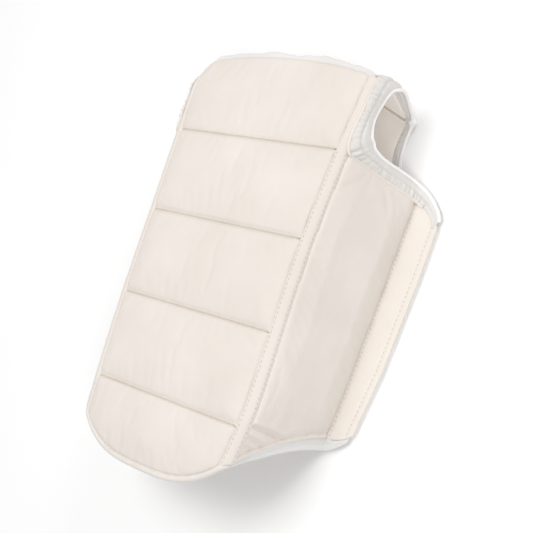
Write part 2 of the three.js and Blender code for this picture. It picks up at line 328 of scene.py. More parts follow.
def wave(x, y, shape, seed):
    """Soft random waves of a given (height, size)."""
    height, size = shape
    return height * ripple(x, y, size, seed)


def pucker(along, away, shape, seed):
    """Puckers along a seam that run out away from it."""
    height, size = shape
    return height * ripple(along, away * 0.3, size, seed) * math.exp(-away / size)


def hump(t):
    """0 at both ends and 1 in the middle."""
    return 4 * t * (1 - t)


def swing(y, z):
    return FOOT_SWING * foot(y) * z / FRONT_HEIGHT


def round_corner(x, y, z):
    """Draws in the free top corner of the front, on the wearer's right."""
    beside = (CORNER_SIDE - x) / CORNER_ROUND
    above = (y - CORNER_LEVEL) / CORNER_ROUND
    if beside <= 0 or above <= 0:
        return x, y
    share = clamp((z - CORNER_HEIGHT) / CORNER_HEIGHT) * CORNER_ROUND
    x += share * beside * (1 - math.sqrt(1 - min(above, 1) ** 2 / 2))
    y -= share * above * (1 - math.sqrt(1 - min(beside, 1) ** 2 / 2))
    return x, y


def world(x, y, z):
    x, y = round_corner(x, y, z)
    return Vector((x - swing(y, z), y + SEAM_LEVEL, z)) * MM


def front_height(y):
    return FRONT_HEIGHT - FRONT_ARCH * ((y + ARCH_LEVEL) / ARCH_LEVEL) ** 2


def top_edge(x):
    return TOP_SEGMENT + TOP_CROWN * (1 - (x / width(FRONT, TOP_SEGMENT)) ** 2)


def tongue(x):
    return LAST_SEAM - TONGUE_DROP + TONGUE_RISE * (abs(x) / TONGUE_HALF) ** TONGUE_POWER


def on_tape(y, t):
    """The tape's turn round the body's corner: x, z and the outward direction."""
    turn = t * TAPE_TURN
    x = width(FRONT, y) - TAPE_WIDTH / 2 + TAPE_RADIUS * math.sin(turn)
    z = front_height(y) - TAPE_RADIUS * (1 - math.cos(turn))
    return x, z, math.sin(turn), math.cos(turn)


def wing_chord(y):
    """Straight line from tape to flap at a level: its start, its run and its length."""
    x, z = on_tape(y, 1)[:2]
    run_x = width(STITCH_LINE, y) - x
    run_z = LANDING - z
    return x, z, run_x, run_z, math.hypot(run_x, run_z)


def on_wing(y, t):
    x, z, run_x, run_z, length = wing_chord(y)
    out_x, out_z = -run_z / length, run_x / length
    sag = WING_SAG * hump(t)
    return x + run_x * t - out_x * sag, z + run_z * t - out_z * sag, out_x, out_z


def wing_top(t):
    return WING_TOP - WING_TOP_FALL * t


def wing_bottom(t):
    return -WING_BOTTOM - WING_BOTTOM_FALL * (1 - WING_BOTTOM_REACH * t) ** WING_BOTTOM_POWER


def tape_bottom(t):
    inner = width(FRONT, wing_bottom(0)) - TAPE_WIDTH / 2
    return mix(tongue(inner), wing_bottom(0), t)


def flap_top(t):
    return wing_top(1) - FLAP_TOP_FALL * t ** 2


def flap_bottom(t):
    return mix(wing_bottom(1), -FLAP_BOTTOM, t) + FLAP_CORNER * t ** 4


def hem_line(x):
    return -BACK_TIP + BACK_SLOPE * (math.hypot(x, BACK_TIP_ROUND) - BACK_TIP_ROUND)


def back_arm(t):
    """The back's armhole edge, from the side up to the shoulder, as x and y."""
    points = [*BACK_ARM, (STRAP_FOOT_OUTER[0], STRAP_FOOT_OUTER[1] - BACK_THICK)]
    shares = [(1 - t) ** 3, 3 * t * (1 - t) ** 2, 3 * t ** 2 * (1 - t), t ** 3]
    x = sum(share * point[0] for share, point in zip(shares, points))
    y = sum(share * point[1] for share, point in zip(shares, points))
    return x, y


def smooth_line(points):
    """A curve through set points: a function of t from 0 to 1."""
    ends = [2 * points[0] - points[1], *points, 2 * points[-1] - points[-2]]

    def at(t):
        place = clamp(t, 0, 0.999999) * (len(points) - 1)
        i = int(place)
        s = place - i
        a, b, c, d = ends[i:i + 4]
        bend = (2 * a - 5 * b + 4 * c - d) * s ** 2 + (3 * b - a - 3 * c + d) * s ** 3
        return (2 * b + (c - a) * s + bend) / 2

    return at


# Modelling
def pick(piece):
    bpy.ops.object.select_all(action="DESELECT")
    piece.select_set(True)
    bpy.context.view_layer.objects.active = piece


def apply(piece, name, kind, **settings):
    """Adds a modifier and applies it."""
    modifier = piece.modifiers.new(name, kind)
    for key, value in settings.items():
        setattr(modifier, key, value)
    pick(piece)
    bpy.ops.object.modifier_apply(modifier=name)


def dress(piece, look, slot, *nodes):
    """Gives a finished piece its cloth, its body and the solids that it stands for."""
    pick(piece)
    bpy.ops.object.shade_smooth()
    piece.data.materials.clear()
    piece.data.materials.append(look)
    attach(piece, "root")
    if nodes:
        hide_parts(*nodes)


def cloth_sheet(name, place, across, along, thick, side=1):
    """A grid bent by place(u, v), both from 0 to 1, then given its thickness.
    Returns the piece, the width and length of its flat cut and the cut's area."""
    bpy.ops.object.select_all(action="DESELECT")
    bpy.ops.mesh.primitive_grid_add(x_subdivisions=across, y_subdivisions=along, size=2)
    piece = bpy.context.object
    piece.name = name
    piece.data.name = name
    for vertex in piece.data.vertices:
        x, y, z = place((1 + side * vertex.co.x) / 2, (1 + vertex.co.y) / 2)
        vertex.co = world(side * x, y, z)
    points = [vertex.co.copy() for vertex in piece.data.vertices]
    row = across + 1
    widths = [
        sum((points[j * row + i + 1] - points[j * row + i]).length for i in range(across))
        for j in range(along + 1)
    ]
    lengths = [
        sum((points[(j + 1) * row + i] - points[j * row + i]).length for j in range(along))
        for i in range(row)
    ]
    area = sum(face.area for face in piece.data.polygons)
    apply(piece, "wall", "SOLIDIFY", thickness=thick * MM, offset=0)
    apply(piece, "soft_edges", "SUBSURF", levels=1, render_levels=1)
    flat = max(widths), max(lengths)
    return piece, flat, min(area, FULL_CUT * flat[0] * flat[1])


def rolled_edge(name, places, sides=3):
    """A round rolled edge along (point, radius) places."""
    route = bpy.data.curves.new(name, "CURVE")
    route.dimensions = "3D"
    route.bevel_depth = MM
    route.bevel_resolution = sides
    route.use_fill_caps = True
    spline = route.splines.new("POLY")
    spline.points.add(len(places) - 1)
    for knot, (point, radius) in zip(spline.points, places):
        knot.co = (*point, 1)
        knot.radius = radius
    piece = bpy.data.objects.new(name, route)
    bpy.context.collection.objects.link(piece)
    pick(piece)
    bpy.ops.object.convert(target="MESH")
    return bpy.context.object


# Padded pieces: the plain solid, remeshed, filled by a cloth simulation, then quilted
def rounded(distance, reach):
    inside = clamp(distance / reach)
    return math.sqrt(1 - (1 - inside) ** 2)


def sloped(distance, reach):
    return math.sin(clamp(distance / reach) * math.pi / 2)


def hem_welt(distance, roll, dip):
    """A turned hem: a roll along its edge and a dip along its stitches."""
    edge = rounded(distance, EDGE_CALM) * bell(distance - HEM_ROLL, HEM_ROLL_HALF)
    return roll * edge - dip * bell(distance - HEM, HEM_DIP_HALF)


class FrontSegment:
    """One segment of the front: where a point lies on it."""

    def __init__(self, index):
        self.index = index
        self.hem = HEM if index == SEGMENTS else 0
        self.out = Vector((0, 0, 1))

    def upper(self, x):
        if self.index == 1:
            return top_edge(x)
        return (2 - self.index) * SEGMENT_PITCH - GAP / 2

    def lower(self, x):
        if self.index == SEGMENTS:
            return tongue(x)
        return (1 - self.index) * SEGMENT_PITCH + GAP / 2

    def distances(self, point):
        """To the side seam, the upper edge and the lower edge."""
        x, y = point.x, point.y
        side = width(FRONT, y) - TAPE_WIDTH / 2 - GAP - abs(x)
        return side, self.upper(x) - y, y - self.lower(x)

    def offset(self, point):
        return point.z - front_height(point.y), self.out

    def plain(self, point):
        side, upper, lower = self.distances(point)
        ends = rounded(upper, PAD_CAD_ROUND) * rounded(lower - self.hem, PAD_CAD_ROUND)
        return rounded(side, PAD_CAD_ROUND) * ends

    def filled(self, point):
        side, upper, lower = self.distances(point)
        low = rounded(lower - self.hem, CRISP_ROUND) if self.hem else sloped(lower, SOFT_SLOPE)
        return rounded(side, SIDE_ROUND) * rounded(upper, CRISP_ROUND) * low

    def quilting(self, point):
        """Waves of the slack cotton and the pull of the stitches, outward."""
        x, y = point.x, point.y
        side, upper, lower = self.distances(point)
        seam = min(upper, lower)
        move = wave(x, y, FRONT_WAVE, self.index) + wave(x, y, FRONT_CREASES, 7)
        move += pucker(x, seam, CROSS_PUCKER, self.index) + pucker(y, side, FRONT_TAPE_PUCKER, 3)
        if self.hem:
            move += hem_welt(lower, 1.3, 1.2)
        return move * clamp(min(side, upper, lower) / EDGE_CALM)

    def meet(self, point):
        """Presses the sewn edges against those of the next segments."""
        upper, lower = self.distances(point)[1:]
        move = 0
        if self.index > 1:
            move += LAP_UPPER * clamp(1 - upper / LAP_DEPTH)
        else:
            move += TOP_FULLNESS * clamp(1 - upper / TOP_DEPTH)
        if self.index < SEGMENTS:
            move -= LAP_LOWER * clamp(1 - lower / LAP_DEPTH)
        else:
            move += BINDING_INSET * clamp(1 - lower / BINDING_DEPTH)
        return Vector((0, move, 0))


class Wing:
    """A padded side: where a point lies on it."""

    def __init__(self, side):
        self.side = side

    def spot(self, point):
        """Share of the way from tape to flap, that way's length, and the signed offset outward."""
        x, z, run_x, run_z, length = wing_chord(point.y)
        at_x = point.x * self.side - x
        at_z = point.z - z
        t = clamp((at_x * run_x + at_z * run_z) / length ** 2)
        offset = (at_z * run_x - at_x * run_z) / length
        return t, length, offset + WING_SAG * hump(t)

    def offset(self, point):
        t, _, offset = self.spot(point)
        out_x, out_z = on_wing(point.y, t)[2:]
        return offset, Vector((out_x * self.side, 0, out_z))

    def distances(self, point):
        """To the tape, the flap, the upper edge and the hem."""
        t, length = self.spot(point)[:2]
        return t * length, (1 - t) * length, wing_top(t) - point.y, point.y - wing_bottom(t)

    def slack(self, point):
        """Below 0 in the slack corner, above it on the padding."""
        t = self.spot(point)[0]
        return (point.y - wing_bottom(t)) / SLACK_TAPE + t / SLACK_HEM - 1

    def plain(self, point):
        tape, flap, upper, hem = self.distances(point)
        ends = rounded(upper, PAD_CAD_ROUND) * rounded(hem - HEM, PAD_CAD_ROUND)
        sides = rounded(tape, PAD_CAD_ROUND) * rounded(flap, PAD_CAD_ROUND)
        return sides * ends * clamp(self.slack(point) * SLACK_CAD_SLOPE)

    def filled(self, point):
        tape, flap, upper, hem = self.distances(point)
        ends = rounded(upper, CRISP_ROUND) * sloped(hem - HEM, SOFT_SLOPE)
        sides = rounded(tape, SIDE_ROUND) * sloped(flap, SOFT_SLOPE)
        return sides * ends * clamp(self.slack(point) * SLACK_SLOPE)

    def quilting(self, point):
        """Waves of the slack cotton, the folds of the slack corner and the turned hem."""
        y = point.y
        tape, flap, upper, hem = self.distances(point)
        move = wave(tape, y, WING_WAVE, 11 + self.side) + wave(tape, y, WING_CREASES, 5)
        move += pucker(y, tape, WING_TAPE_PUCKER, 2) + pucker(y, flap, WING_FLAP_PUCKER, 4)
        for level, fall, reach, high in WING_FOLDS:
            ridge = y + level + fall * tape
            fade = clamp((reach - tape) / FOLD_END) * clamp(tape / FOLD_START)
            dip = FOLD_DIP * bell(ridge + FOLD_DIP_PLACE, FOLD_DIP_HALF)
            move += high * fade * (bell(ridge, FOLD_HALF) - dip)
        move += hem_welt(hem, 1.6, 1.0)
        return move * clamp(min(tape, flap, upper, hem) / EDGE_CALM)

    def meet(self, point):
        """A wing's edges stay where they are."""
        return Vector((0, 0, 0))


def model_point(vertex):
    x, y, z = vertex.co / MM
    y -= SEAM_LEVEL
    return Vector((x + swing(y, z), y, z))


def fill_pad(name, node, form):
    """Swells a copy of the node's solid as a sewn cover filled with wadding."""
    piece = bpy.data.objects.new(name, frame["nodes"][node].data.copy())
    bpy.context.collection.objects.link(piece)
    apply(piece, "weld", "WELD", merge_threshold=WELD * MM)
    apply(piece, "even_mesh", "REMESH", mode="VOXEL", voxel_size=VOXEL * MM)
    sewn = piece.vertex_groups.new(name="sewn")
    for vertex in piece.data.vertices:
        point = model_point(vertex)
        offset, out = form.offset(point)
        if offset > 0:
            had = PAD_EDGE / 2 + PAD_CAD_RISE * form.plain(point)
            wanted = PAD_EDGE / 2 + PAD_RISE * form.filled(point)
            vertex.co += out * (offset * (wanted / had - 1) * MM)
        border = min(form.distances(point))
        sewn.add([vertex.index], clamp(SEWN_HOLD - border / SEWN_FADE), "REPLACE")
    swell(piece)
    apply(piece, "fine_mesh", "SUBSURF", levels=1, render_levels=1)
    for vertex in piece.data.vertices:
        point = model_point(vertex)
        offset, out = form.offset(point)
        vertex.co += form.meet(point) * MM
        if offset > 0:
            vertex.co += out * (form.quilting(point) * MM)
    for vertex in piece.data.vertices:
        vertex.co = world(*model_point(vertex))
    piece.vertex_groups.clear()
    return piece


def swell(piece):
    """Fills a cover by a cloth simulation, with a limit on how far it may move."""
    rest = [vertex.co.copy() for vertex in piece.data.vertices]
    cover = piece.modifiers.new("filling", "CLOTH")
    cloth = cover.settings
    cloth.quality = CLOTH_QUALITY
    cloth.use_pressure = True
    cloth.uniform_pressure_force = PRESSURE
    cloth.vertex_group_mass = "sewn"
    cloth.shrink_min = CLOTH_SLACK
    cloth.effector_weights.gravity = 0
    cover.point_cache.frame_start = 1
    cover.point_cache.frame_end = FRAMES
    for step in range(1, FRAMES + 1):
        bpy.context.scene.frame_set(step)
    pick(piece)
    bpy.ops.object.modifier_apply(modifier=cover.name)
    for vertex, start in zip(piece.data.vertices, rest):
        move = vertex.co - start
        if move.length > SWELL_LIMIT * MM:
            vertex.co = start + move.normalized() * SWELL_LIMIT * MM
    bpy.context.scene.frame_set(1)


# Materials
def linear(code):
    """A colour written as sRGB hex, in the linear values that shaders take."""
    values = [int(code[i:i + 2], 16) / 255 for i in (1, 3, 5)]
    return (*[v / 12.92 if v <= 0.04045 else ((v + 0.055) / 1.055) ** 2.4 for v in values], 1)


def add_node(tree, kind, inputs=(), **settings):
    """One shader node, with its own settings and its sockets' values or links."""
    made = tree.nodes.new(kind)
    for key, value in settings.items():
        setattr(made, key, value)
    for socket, value in dict(inputs).items():
        if isinstance(value, bpy.types.NodeSocket):
            tree.links.new(value, made.inputs[socket])
        else:
            made.inputs[socket].default_value = value
    return made


def woven_cotton(name, pale, deep, thread, sheen, rough):
    """Plain-woven cotton: matt, with a soft bloom at grazing angles, slightly uneven in tone,
    and a fine ribbing of warp and weft. Real threads are about 0.5 mm apart, too fine to show,
    so they are drawn as coarse as the thread spacing given here."""
    look = bpy.data.materials.new(name)
    look.use_nodes = True
    tree = look.node_tree
    tree.nodes.clear()
    place = add_node(tree, "ShaderNodeTexCoord").outputs["Object"]
    parts = add_node(tree, "ShaderNodeSeparateXYZ", {0: place})
    beside = add_node(tree, "ShaderNodeMath", {0: parts.outputs["X"]}, operation="ABSOLUTE")
    across = add_node(
        tree, "ShaderNodeMath", {0: beside.outputs[0], 1: parts.outputs["Z"]}, operation="SUBTRACT")
    cloth = add_node(
        tree, "ShaderNodeCombineXYZ", {"X": across.outputs[0], "Y": parts.outputs["Y"]}).outputs[0]
    bands = 1 / (thread * MM) * 2 * math.pi / WAVE_TURNS
    ribs = {"Vector": cloth, "Scale": bands, "Distortion": 1.2}
    warp = add_node(tree, "ShaderNodeTexWave", ribs, bands_direction="X")
    weft = add_node(tree, "ShaderNodeTexWave", ribs, bands_direction="Y")
    weave = add_node(
        tree, "ShaderNodeMath", {0: warp.outputs["Fac"], 1: weft.outputs["Fac"]}, operation="MULTIPLY")
    slub = add_node(
        tree, "ShaderNodeTexNoise", {"Vector": place, "Scale": 1 / (SLUB * MM), "Detail": 3})
    relief = add_node(
        tree, "ShaderNodeMath", {0: weave.outputs[0], 1: slub.outputs["Fac"]}, operation="ADD")
    bump = add_node(
        tree, "ShaderNodeBump",
        {"Height": relief.outputs[0], "Strength": 0.35, "Distance": RELIEF * MM})
    patches = add_node(
        tree, "ShaderNodeTexNoise", {"Vector": place, "Scale": 1 / (PATCH * MM), "Detail": 4})
    shade = add_node(
        tree, "ShaderNodeMapRange",
        {"Value": patches.outputs["Fac"], "From Min": 0.3, "From Max": 0.7})
    colour = add_node(
        tree, "ShaderNodeMix", {0: shade.outputs[0], 6: linear(deep), 7: linear(pale)},
        data_type="RGBA")
    dullness = add_node(
        tree, "ShaderNodeMapRange",
        {"Value": slub.outputs["Fac"], "To Min": rough - 0.06, "To Max": rough + 0.06})
    cotton = add_node(
        tree, "ShaderNodeBsdfPrincipled",
        {"Base Color": colour.outputs[2], "Roughness": dullness.outputs[0],
         "Normal": bump.outputs[0], "Specular IOR Level": 0.25, "Sheen Weight": sheen,
         "Sheen Roughness": 0.45, "Sheen Tint": linear(pale)})
    add_node(tree, "ShaderNodeOutputMaterial", {"Surface": cotton.outputs[0]})
    return look


# Cloths: paler and deeper tone, thread spacing as drawn, sheen, roughness
CREAM = woven_cotton("cream_cotton_drill", "#DFD8D1", "#D9D1C9", 1.3, 0.15, 0.9)
# Lighter copy of the cream cotton: painted light on the flaps and the armhole piping
PAINTED_LIGHT_CREAM = woven_cotton("painted_light_cream_cotton", "#E3DCD5", "#DED6CE", 1.3, 0.15, 0.9)
# Greyer copy of the white cotton: painted shade of the armhole band's gathers
PAINTED_SHADE_BAND_WHITE = woven_cotton("white_poplin_painted_shade", "#DCD9D6", "#D2CFCB", 0.9, 0.1, 0.88)
WHITE = woven_cotton("white_cotton_poplin", "#DEDDDB", "#D7D6D4", 0.9, 0.12, 0.85)
BINDING_WHITE = woven_cotton("off_white_binding", "#E0DBD5", "#DAD5CF", 0.9, 0.12, 0.87)
# Brighter copy of the white cotton: painted highlight on the rolled armhole rim
PAINTED_HIGHLIGHT_RIM_WHITE = woven_cotton("white_cotton_painted_highlight", "#F2F1F0", "#ECEBEA", 0.9, 0.12, 0.85)
# Paler than the cream cotton: painted light that brightens the shaded inside of the armhole
PAINTED_LIGHT_LINING = woven_cotton("painted_light_lining_cloth", "#F4F0EB", "#EEE9E3", 1.1, 0.1, 0.92)
# Darker beige cotton: painted shade along the shoulder seam's fold and in the cross seams' valleys
PAINTED_SHADE_SEAM_LOOK = woven_cotton("seam_cotton_painted_shade", "#CDC3B7", "#C4B9AC", 0.9, 0.1, 0.9)
# Thread darker than the cloth: painted shade of the needle holes along the seams
PAINTED_SHADE_THREAD = woven_cotton("sewing_thread_painted_shade", "#CCC2B6", "#C3B8AB", 0.6, 0.1, 0.8)


# Front and sides
skins = {}
for index in range(1, SEGMENTS + 1):
    pad = fill_pad(f"quilted_front_{index}", f"front_pad_{index}", FrontSegment(index))
    dress(pad, CREAM, "cream_cotton", f"front_pad_{index}")
    skins[f"front_{index}"] = pad


def stitch_pull(y):
    """1 between two stitches of a seam and -1 at a stitch."""
    return math.cos(2 * math.pi * y / STITCH_PITCH)


def corner_tape(name, side):
    top = top_edge(width(FRONT, TOP_SEGMENT))

    def place(u, v):
        y = mix(tape_bottom(u) + TAPE_TUCK * (1 - u), top, v)
        x, z, out_x, out_z = on_tape(y, mix(*TAPE_COVER, u))
        rows = sum(bell(u - row, TAPE_ROW_HALF) for row in TAPE_ROWS)
        welt = TAPE_WELT * (1 - (2 * u - 1) ** 6) - TAPE_GROOVE * rows
        beside = bell(abs(2 * u - 1) - TAPE_PULL_PLACE, TAPE_PULL_HALF)
        welt += TAPE_PULL * stitch_pull(y) * beside + wave(y, u * 4, TAPE_WAVE, side)
        return x + out_x * welt, y, z + out_z * welt

    piece, flat, area = cloth_sheet(
        f"corner_tape_{name}", place, across=11, along=230, thick=2.2, side=side)
    dress(piece, CREAM, "cream_cotton", f"seam_tape_{name}")
    return piece


def flap(name, side):
    def place(u, v):
        y = mix(flap_bottom(u), flap_top(u), v)
        start = width(STITCH_LINE, y) - FLAP_TUCK
        end = width(SIDE_EDGE, y)
        x = mix(start, end, u)
        inner, outer = x - start, end - x
        below, above = y - flap_bottom(u), flap_top(u) - y
        rise = 0.5 * bell(outer - 3, 3) - 0.9 * bell(outer - FLAP_HEM, 1.2)
        rise += 1.6 * bell(inner, 1.8) - 0.6 * bell(inner - FLAP_SEAM, 1.3)
        rows = bell(outer - FLAP_HEM, FLAP_PULL_HALF) + bell(inner - FLAP_SEAM, FLAP_PULL_HALF)
        rise += FLAP_PULL * stitch_pull(y) * rows
        rise += wave(x, y, FLAP_WAVE, side) + wave(x, y, FLAP_CREASES, 4)
        calm = clamp(min(outer, below, above) / FLAP_CALM + 0.35)
        return x, y, BACK_THICK + GAP + FLAP_CLOTH + max(rise * calm, FLAP_LOWEST)

    piece, flat, area = cloth_sheet(
        f"side_flap_cover_{name}", place, across=20, along=120, thick=2.3, side=side)
    # The flap's lighter cream is painted light
    dress(piece, PAINTED_LIGHT_CREAM, "cream_cotton", f"side_flap_{name}")
    return piece


def strap(name, side):
    foot_z = BACK_THICK + STRAP_CLOTH
    foot_end = (*STRAP_FOOT_OUTER, foot_z)
    top_end = (STRAP_OUTER, top_edge(STRAP_OUTER) + STRAP_PAST, front_height(TOP_SEGMENT) - STRAP_UNDER)
    line = [foot_end, *reversed(SHOULDER_LINE), top_end]
    shoulder = [(i / (len(line) - 1), *point) for i, point in enumerate(line)]

    def place(u, v):
        top_x = mix(STRAP_INNER, STRAP_OUTER, u)
        top_y = top_edge(top_x) + STRAP_PAST
        top_z = front_height(top_y) - STRAP_UNDER
        foot_x = mix(STRAP_FOOT_INNER[0], STRAP_FOOT_OUTER[0], u)
        foot_y = mix(STRAP_FOOT_INNER[1], STRAP_FOOT_OUTER[1], u)
        edge = [between(shoulder, column, v) for column in (1, 2, 3)]
        waves = wave(u * 50, v * 70, STRAP_WAVE, side) + wave(u * 50, v * 20, STRAP_CREASES, 2)
        bulge = (STRAP_BULGE + waves) * hump(v)
        point = mix(foot_x, top_x, v), mix(foot_y, top_y, v) + bulge, mix(foot_z, top_z, v)
        return [mix(plain, flared, u ** 3) for plain, flared in zip(point, edge)]

    piece, flat, area = cloth_sheet(
        f"shoulder_{name}", place, across=16, along=32, thick=2.6, side=side)
    # The strap's pale lining colour is painted light
    dress(piece, PAINTED_LIGHT_LINING, "lining_cotton", f"shoulder_strap_{name}")

    # Its seam allowance shows inside as a rolled line along the back, coloured darker as painted shade
    # of the fold there
    places = []
    for i in range(SHOULDER_STEPS + 1):
        x, y, z = place(i / SHOULDER_STEPS, SHOULDER_SEAM_SHARE)
        radius = SHOULDER_SEAM + 0.2 * ripple(i, 0, 4, side)
        places.append((world(x * side, y - 1.2, z + 0.4), radius))
    seam = rolled_edge(f"shoulder_seam_{name}", places)
    dress(seam, PAINTED_SHADE_SEAM_LOOK, "lining_cotton")


# Back
def back_side(v):
    """The back's side from its hem up to the shoulder, as x and y."""
    low = width(SIDE_EDGE, -FLAP_BOTTOM) - BACK_CORNER
    line = [(low, hem_line(low))]
    for y in (FLAP_CORNER - FLAP_BOTTOM, *BACK_LEVELS, flap_top(1)):
        line.append((width(SIDE_EDGE, y) - GAP, y))
    line.extend(back_arm(step / BACK_ARM_STEPS) for step in range(BACK_ARM_STEPS + 1))
    line.append((STRAP_FOOT_OUTER[0], STRAP_FOOT_OUTER[1] + BACK_THICK))
    rows = [(i / (len(line) - 1), *point) for i, point in enumerate(line)]
    return between(rows, 1, v), between(rows, 2, v)


def back_upper(x):
    """The back's edge along the neck and the shoulders' feet."""
    rows = [
        (0, BACK_NECK),
        (STRAP_FOOT_INNER[0] - NECK_CORNER, BACK_NECK),
        (STRAP_FOOT_INNER[0], STRAP_FOOT_INNER[1] + BACK_THICK),
        (STRAP_FOOT_OUTER[0], STRAP_FOOT_OUTER[1] + BACK_THICK),
    ]
    return between(rows, 1, x)


def back_sheet():
    foot_x, foot_y = back_side(0)
    head_x, head_y = back_side(1)

    def place(u, v):
        across = 2 * u - 1
        edge_x, edge_y = back_side(v)
        drop = hem_line(across * foot_x) - foot_y
        rise = back_upper(abs(across) * head_x) - head_y
        x, y = across * edge_x, edge_y + mix(drop, rise, v)
        height, size = BACK_WAVE
        lift = height * (1 + ripple(x, y, size, 1)) * clamp((1 - abs(across)) * 8)
        return x, y, BACK_THICK / 2 - 0.25 + lift

    piece, flat, area = cloth_sheet("back_lining", place, across=44, along=52, thick=2.4)
    # The back's pale lining colour is painted light
    dress(piece, PAINTED_LIGHT_LINING, "lining_cotton", "back_panel")
    flat = (2 * width(SIDE_EDGE, flap_top(1)) * MM, (BACK_NECK + BACK_TIP) * MM)


def hem_band(name, side):
    """White band along the wing's hem, run from 0 to 1, and on under the flap."""
    def place(u, v):
        run = mix(HEM_BAND_START, 1 + HEM_BAND_FLAP, u)
        wing = clamp(run)
        past = max(run - 1, 0)
        wide = mix(HEM_BAND_FOOT, HEM_BAND, wing) * (1 - HEM_BAND_TAPER * past)
        wide *= mix(HEM_BAND_NARROW, 1, clamp(run / HEM_BAND_WIDEN))
        hem = flap_bottom(past) if past else wing_bottom(wing)
        y = hem + HEM_BAND_LAP * (1 - clamp(past * 4)) - (wide + HEM_BAND_LAP) * v
        x, z, out_x, out_z = on_wing(y, min(run, 1))
        groove = HEM_BAND_GROOVE_DEPTH * bell(v - HEM_BAND_GROOVE, HEM_BAND_GROOVE_HALF)
        roll = 0.7 * bell(v - 0.85, 0.2) + 0.5 * bell(v - 0.3, 0.2)
        pull = wave(run * 110, v * 4, HEM_BAND_WAVE, side) * hump(v)
        out = (roll + pull - groove) * (1 - 0.6 * clamp(past))
        if past:
            turn = clamp(past * 5)
            out_x, out_z = mix(out_x, 0, turn), mix(out_z, 1, turn)
            x = mix(x, width(SIDE_EDGE, y), past)
        return x + out_x * out, y, z + out_z * out

    piece, flat, area = cloth_sheet(
        f"hem_strip_{name}", place, across=90, along=8, thick=1.6, side=side)
    dress(piece, WHITE, "white_trim", f"hem_band_{name}")


def neck_trim():
    def place(u, v):
        along = 2 * u - 1
        x = along * width(FRONT, TOP_SEGMENT)
        out = NECK_BAND * v * (1 - NECK_TAPER * along ** NECK_TAPER_POWER)
        gather = v * (wave(x, 0, NECK_GATHERS, 9) + wave(x, v * 4, NECK_CREASES, 6))
        roll = 1.2 * bell(v - 0.8, 0.25) - 0.6 * bell(v - 0.22, 0.1)
        y = top_edge(x) - NECK_LAP + (out + gather) * math.cos(NECK_TILT)
        z = front_height(top_edge(x)) + NECK_LIFT - out * math.sin(NECK_TILT)
        return x, y, z + 0.5 * gather + roll

    piece, flat, area = cloth_sheet("neck_trim", place, across=180, along=8, thick=2.2)
    dress(piece, WHITE, "white_trim", "neck_band")


def tongue_binding():
    """Off-white binding round the front's bottom edge, from one seam tape to the other."""
    seam = width(FRONT, wing_bottom(0)) - TAPE_WIDTH / 2
    reach = seam + TAPE_RADIUS * math.sin(TAPE_TURN)
    places = []
    for i in range(BINDING_STEPS + 1):
        x = reach * math.sin(mix(-1, 1, i / BINDING_STEPS) * math.pi / 2)
        y = tongue(x)
        turn = math.asin(clamp((abs(x) - seam) / TAPE_RADIUS))
        z = front_height(y) - TAPE_RADIUS * (1 - math.cos(turn))
        places.append((x, y, z))

    def place(u, v):
        i = round(v * BINDING_STEPS)
        x, y, z = places[i]
        before, after = places[max(i - 1, 0)], places[min(i + 1, BINDING_STEPS)]
        run = math.hypot(after[0] - before[0], after[1] - before[1])
        in_x, in_y = (before[1] - after[1]) / run, (after[0] - before[0]) / run
        reach_in = mix(BINDING_EDGE, BINDING, u)
        arch = math.sqrt(1 - (2 * u - 1) ** 2 * 0.98)
        puckers = wave(i * 0.9, u * 3, BINDING_PUCKER, 5) * arch
        high = BINDING_ARCH * arch - BINDING_SINK + puckers + 0.5 * bell(u - 0.75, 0.2)
        return x + in_x * reach_in, y + in_y * reach_in, z + high

    piece = cloth_sheet("tongue_binding", place, across=6, along=BINDING_STEPS, thick=1.4)[0]
    dress(piece, BINDING_WHITE, "white_trim")


